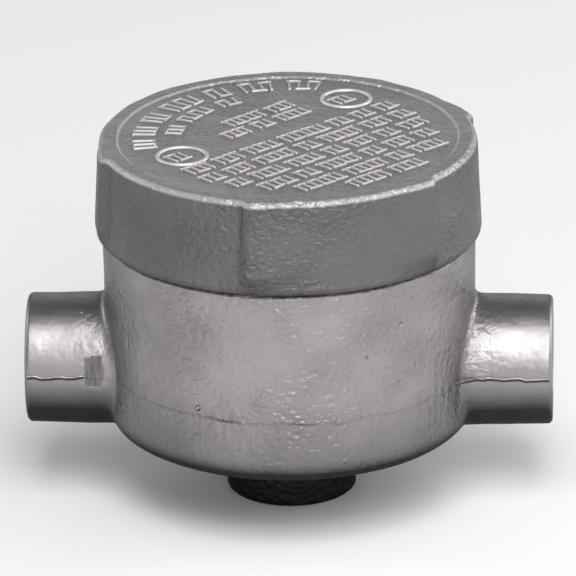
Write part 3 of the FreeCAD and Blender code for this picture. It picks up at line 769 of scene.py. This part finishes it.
cap = {
    "steps": 600,
    "topRadius": 55.5,
    "rounding": 2.3,
    "draft": 2.5,
    "face": 109.8,
    "rimInner": 50.5,
    "lowBevel": 1.3,
    "bore": 50.85,
    "boreBevel": 0.9,
    "boreTop": 102.7,
    "plateGap": 0.04,  # between the plate's underside and the neck's top
    "grooveRadius": 53.7,
    "groove": (83.45, 86.65),
    "lugCorners": ((-70, 1), (-10, -1), (50, 1), (110, -1), (170, 1), (230, -1)),
    "lowLugs": (170, 230),  # these two die away below the rim
    "lowLugTop": 108.0,
    "lugRise": 2.1,
    "lugRamp": 15.0,
    "lugStep": 2.4,
    "lugFoot": 82.8,
    "lugFootSlope": 5.0,
    "lugInner": 52.5,  # on the top, the lugs grow from here outwards
    "lugInnerSlope": 1.2,
    "castOutside": 54.3,  # what the sand has touched: the skirt beyond this radius, and the rim on top
    "castTopFrom": 104,
    "castTopReach": 50.6,
    "unevenness": 0.22,
    "unevenSpan": 9,
}
# A pattern's corners are rounded: a lug is the mean of itself a little round and a little up and down
softenRound = ((-0.9, 0.12), (-0.45, 0.23), (0, 0.3), (0.45, 0.23), (0.9, 0.12))
softenUp = ((-1.6, 0.25), (0, 0.5), (1.6, 0.25))


def lugAt(degrees, height):  # how far a lug stands out at this angle from the front, at most 1
    out = 0
    for corner, hand in cap["lugCorners"]:
        if corner in cap["lowLugs"] and height > cap["lowLugTop"]:
            continue
        away = ((degrees - corner + 180) % 360 - 180) * hand
        if 0 <= away < cap["lugStep"]:
            out = max(out, 1 - away / cap["lugStep"])
        elif -cap["lugRamp"] < away < 0:
            out = max(out, 1 + away / cap["lugRamp"])
    return out


def softLugAt(degrees, height):
    total = 0
    for offset, weight in softenRound:
        for drop, part in softenUp:
            total += lugAt(degrees + offset, height + drop) * weight * part
    return total


def coverProfile():  # from the middle of the face, down the skirt, up the bore and back under the plate
    top, bottom, draft = conduitBody["coverTop"], conduitBody["coverBottom"], math.tan(math.radians(cap["draft"]))
    rounding, rim, face, bore = cap["rounding"], cap["rimInner"], cap["face"], cap["bore"]
    edge = (cap["topRadius"] + rounding * 0.98 * draft, top - rounding)
    foot = (cap["topRadius"] + (top - bottom) * draft, bottom + cap["lowBevel"])
    low, high = cap["groove"]
    underPlate = conduitBody["neckTop"] + cap["plateGap"]
    return [
        (0, face), (rim - 12, face), (rim - 0.95, face), (rim - 0.62, face + 0.1), (rim - 0.12, top - 0.1),
        (rim + 0.2, top), (rim + 1.4, top), (edge[0] - rounding - 0.6, top),
        *arc(edge[0] - rounding, top - rounding, rounding, 90, 3, 9), *run(edge, foot, 22),
        (foot[0] - 0.35, foot[1] - 0.75), (foot[0] - cap["lowBevel"], bottom),
        (bore + cap["boreBevel"], bottom), (bore, bottom + cap["boreBevel"]), (bore, low), (cap["grooveRadius"], low),
        (cap["grooveRadius"], high), (bore, high), (bore, cap["boreTop"]), (bore - 0.8, underPlate), (0, underPlate)]


def inGroove(radius, height):
    return radius < cap["grooveRadius"] + 0.5 and height < cap["groove"][1] + 0.35


def isCastSkin(point):  # the skirt's outside, and the rim on top
    radius = math.hypot(point.x, point.y) / mm
    return radius > cap["castOutside"] or point.z / mm > cap["castTopFrom"] and radius > cap["castTopReach"]


def makeCover():
    top = conduitBody["coverTop"]
    cover = turned("cover_shell", coverProfile(), cap["steps"])
    for vertex in cover.data.vertices:
        x, y, z = vertex.co / mm
        radius = math.hypot(x, y)
        if radius > cap["lugInner"] and z > cap["lugFoot"] and not inGroove(radius, z):
            share = min(1, (z - cap["lugFoot"]) / cap["lugFootSlope"])
            onTop = z > top - 0.05
            inner = min(1, max(0, (radius - cap["lugInner"]) / cap["lugInnerSlope"])) if onTop else 1
            out = softLugAt(math.degrees(math.atan2(x, -y)), z) * cap["lugRise"] * share * inner
            vertex.co.x *= (radius + out) / radius
            vertex.co.y *= (radius + out) / radius
    unevenSkin(cover, cap["unevenness"], cap["unevenSpan"], isCastSkin)
    for vertex in cover.data.vertices:
        vertex.co.z = min(vertex.co.z, top * mm)
    return cover


cover = makeCover()
coverThread = threadRidge("coverThread", cap["bore"], threads["coverCrest"], *threads["coverSpan"],
                          pitch, threads["steps"], threads["cover"])
print("cover blank made")


# Plain raised strokes on the face, where a cover like this carries its cast lettering

strokes = {
    "width": 0.85,
    "height": 0.68,
    "length": 4.0,
    "sunk": 0.2,
    "topShare": 0.5,  # how wide the top is beside the foot
    "bevel": 0.24,
    "pitch": 2.5,
    "cap": 4.9,
    "across": 1.5,
    "waver": 0.22,
    "seed": 7,
    "slanted": ((0, (-41, 44)), (8.2, (-42, 42)), (16.4, (-39, 41)), (24.6, (-34, 37)), (32.8, (-27, 31)),
                (40.5, (-14, 20))),
    "slant": 45,
    "diagonal": 0.7071,
    "counts": (3, 4, 4, 5, 6, 7),
    "gap": 1.7,
    "endRoom": 4,
    "curved": ((43.8, (193, 82), 6.4), (35.2, (176, 108), 4.4)),
    "curvedCounts": (3, 4, 5),
    "curvedPitch": 1.15,
    "curvedGap": 1.9,
    "ringed": ((-31.7, -16.2), (14.5, 32.5)),
    "ringedExtent": (-4.2, 5.5),
    "ringedTall": 5.0,
    "short": (((-16.5, 12), (-2, 26)), ((-8, 10.5), (-14, 20))),
    "shortTall": 4.6,
    "shortest": 0.5,
}


def strokeMaster():
    choose()
    bpy.ops.mesh.primitive_cube_add(size=1)
    stroke = bpy.context.object
    stroke.scale = Vector((strokes["length"], strokes["width"], strokes["height"] + strokes["sunk"])) * mm
    stroke.location.z = (strokes["height"] - strokes["sunk"]) / 2 * mm
    settled(stroke)
    bpy.ops.object.mode_set(mode="EDIT")
    bpy.ops.mesh.select_all(action="DESELECT")
    bpy.ops.object.mode_set(mode="OBJECT")
    for face in stroke.data.polygons:
        face.select = face.normal.z > 0.9
    bpy.ops.object.mode_set(mode="EDIT")
    bpy.ops.transform.resize(value=(1 - 0.5 / strokes["length"], strokes["topShare"], 1))
    bpy.ops.mesh.bevel(offset=strokes["bevel"] * mm, segments=2, affect="EDGES")
    bpy.ops.object.mode_set(mode="OBJECT")
    return stroke


def layStroke(master, start, end):  # a copy, stretched and turned to run from start to end
    stroke = copyOf(master)
    (x, y), (farX, farY) = start, end
    stretch = math.hypot(farX - x, farY - y) + strokes["width"] * 0.8 - strokes["length"]
    for vertex in stroke.data.vertices:
        vertex.co.x += math.copysign(stretch / 2 * mm, vertex.co.x)
    stroke.rotation_euler.z = math.atan2(farY - y, farX - x)
    stroke.location = Vector(((x + farX) / 2, (y + farY) / 2, cap["face"])) * mm
    return stroke


def meander(count, span):  # points along and across a row: up, over, down, over
    points, up = [(0, 0)], True
    for i in range(count):
        points.append((i * span, strokes["cap"] if up else 0))
        if i < count - 1:
            points.append(((i + 1) * span, strokes["cap"] if up else 0))
        up = not up
    return points


def straightRow(origin, extent, tall):
    c, s = math.cos(math.radians(strokes["slant"])), math.sin(math.radians(strokes["slant"]))
    placed, at = [], extent[0]
    while at < extent[1] - strokes["endRoom"]:
        count = min(random.choice(strokes["counts"]), int((extent[1] - at) / strokes["pitch"]))
        if count < 2:
            break
        points = [(at + u, (v / strokes["cap"] - 0.5) * tall) for u, v in meander(count, strokes["pitch"])]
        placed.append([(origin[0] + u * c - v * s, origin[1] + u * s + v * c) for u, v in points])
        at += (count - 1) * strokes["pitch"] + strokes["pitch"] * strokes["gap"]
    return placed


def curvedRow(radius, angles, tall):
    placed, at = [], angles[0]
    step = math.degrees(strokes["pitch"] * strokes["curvedPitch"] / radius)
    while at - angles[1] > 2 * step:
        count = random.choice(strokes["curvedCounts"])
        points = [(at - u * step, radius + (v / strokes["cap"] - 0.5) * tall) for u, v in meander(count, 1)]
        placed.append([(r * math.cos(math.radians(a)), r * math.sin(math.radians(a))) for a, r in points])
        at -= (count - 1) * step + step * strokes["curvedGap"]
    return placed


def wavering():
    return random.uniform(-1, 1) * strokes["waver"]


random.seed(strokes["seed"])
rows = []
for offset, extent in strokes["slanted"]:
    aside = offset * strokes["diagonal"]
    rows += straightRow((aside, -aside), extent, strokes["cap"])
for radius, angles, tall in strokes["curved"]:
    rows += curvedRow(radius, angles, tall)
for spot in strokes["ringed"]:
    rows += straightRow(spot, strokes["ringedExtent"], strokes["ringedTall"])
rows = [[(x + strokes["across"], y) for x, y in row] for row in rows]
for spot, extent in strokes["short"]:
    rows += straightRow(spot, extent, strokes["shortTall"])
rows = [[(x + wavering(), y + wavering()) for x, y in row] for row in rows]

master = strokeMaster()
laid = []
for row in rows:
    for here, there in zip(row, row[1:]):
        if math.hypot(there[0] - here[0], there[1] - here[1]) > strokes["shortest"]:
            laid.append(layStroke(master, here, there))
bpy.data.objects.remove(master)
ringRound = [
    (6.55, 109.6), (6.68, 110.05), (6.92, 110.34), (7.25, 110.46), (7.58, 110.34), (7.82, 110.05), (7.95, 109.6)]
for x, y in strokes["ringed"]:
    ring = turned("plainRing", ringRound, 64, closed=True)
    ring.location = Vector((x + strokes["across"], y, 0)) * mm
    laid.append(ring)
lettering = settled(joined("raisedStrokes", laid))
print("strokes laid", len(laid))


def isBored(middle):  # the cover's bore, groove, foot and thread
    return math.hypot(middle.x, middle.y) < cap["grooveRadius"] + 0.05 and middle.z < 103.5


cover = joined("cover_shell", [cover, coverThread])
giveFinishes(cover, coverLacquer, bareIron)
finishWhere(cover, bareIron, isBored)
giveFinishes(lettering, raisedLacquer)
cover = joined("cover_shell", [cover, lettering])
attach(cover, "cover")
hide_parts("cover")


# The ring in its groove, squeezed a little flat where it bears

seal = {"middle": 52.1, "level": 85.05, "half": 1.28, "squeeze": 0.96}
ringProfile = [(seal["middle"] + seal["half"] * math.copysign(abs(math.cos(a)) ** 0.85, math.cos(a)),
                seal["level"] + seal["half"] * seal["squeeze"] * math.sin(a))
               for a in [2 * math.pi * i / 18 for i in range(18)]]
sealRing = turned("sealing_ring", ringProfile, 240, closed=True)
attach(sealRing, "seal")
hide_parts("cover_o_ring")


smoothAngle = 32  # degrees
giveFinishes(sealRing, nitrileRubber())
giveFinishes(frame["nodes"]["ground_screw"], dyedScrew())
for piece in (body, cover):
    choose(piece)
    bpy.ops.object.shade_smooth_by_angle(angle=math.radians(smoothAngle))
choose(sealRing)
bpy.ops.object.shade_smooth()
print("finishes given")


# Floor, light and camera

studio = {"floorSize": 30, "floorWhite": 0.9, "floorRoughness": 0.9, "worldStrength": 0.14}
choose()
bpy.ops.mesh.primitive_plane_add(size=studio["floorSize"])
floor = bpy.context.object
floor.name = "studio_floor"
floorPaint = bpy.data.materials.new("matt white studio floor")
floorPaint.use_nodes = True
paint = floorPaint.node_tree.nodes["Principled BSDF"]
paint.inputs["Base Color"].default_value = (*[studio["floorWhite"]] * 3, 1)
paint.inputs["Roughness"].default_value = studio["floorRoughness"]
floor.data.materials.append(floorPaint)

camera = {
    "distance": 2.4,
    "lens": 508,
    "azimuth": 2.5,
    "elevation": 21.6,
    "target": (-0.5, 0, 62.3),
    "roll": 0.7,
}


def fromFront(azimuth, elevation, distance):
    a, e = math.radians(azimuth), math.radians(elevation)
    return Vector((math.sin(a) * math.cos(e), -math.cos(a) * math.cos(e), math.sin(e))) * distance


target = Vector(camera["target"]) * mm
bpy.ops.object.camera_add(location=target + fromFront(camera["azimuth"], camera["elevation"], camera["distance"]))
eye = bpy.context.object
upright = (target - eye.location).to_track_quat("-Z", "Y")
eye.rotation_euler = (upright @ Quaternion((0, 0, 1), math.radians(-camera["roll"]))).to_euler()
eye.data.lens = camera["lens"]
eye.data.sensor_width = 36
eye.data.clip_end = 50
bpy.context.scene.camera = eye

# Soft panels round the object: power in watts, width in metres, then bearing from the front and height in degrees
panelDistance = 1.5
panels = {
    "frontHighPanel": (13.0, 0.9, 6, 60),
    "frontPanel": (10.0, 0.9, 18, 31),
    "leftFrontPanel": (2.5, 0.7, -28, 16),
    "rightPanel": (3.0, 0.9, 75, 35),
    "rightBackPanel": (8.0, 0.9, 110, 20),
    "leftBackPanel": (5.0, 0.9, -110, 20),
    "backPanel": (3.2, 0.9, 183, 20),
}
for name, (power, width, azimuth, elevation) in panels.items():
    bpy.ops.object.light_add(type="AREA", location=target + fromFront(azimuth, elevation, panelDistance))
    lamp = bpy.context.object
    lamp.name = name
    lamp.data.energy = power
    lamp.data.size = width
    lamp.rotation_euler = (target - lamp.location).to_track_quat("-Z", "Y").to_euler()

world = bpy.data.worlds.new("studio")
bpy.context.scene.world = world
world.use_nodes = True
world.node_tree.nodes["Background"].inputs["Color"].default_value = (1, 1, 1, 1)
world.node_tree.nodes["Background"].inputs["Strength"].default_value = studio["worldStrength"]
bpy.context.scene.view_settings.view_transform = "Standard"
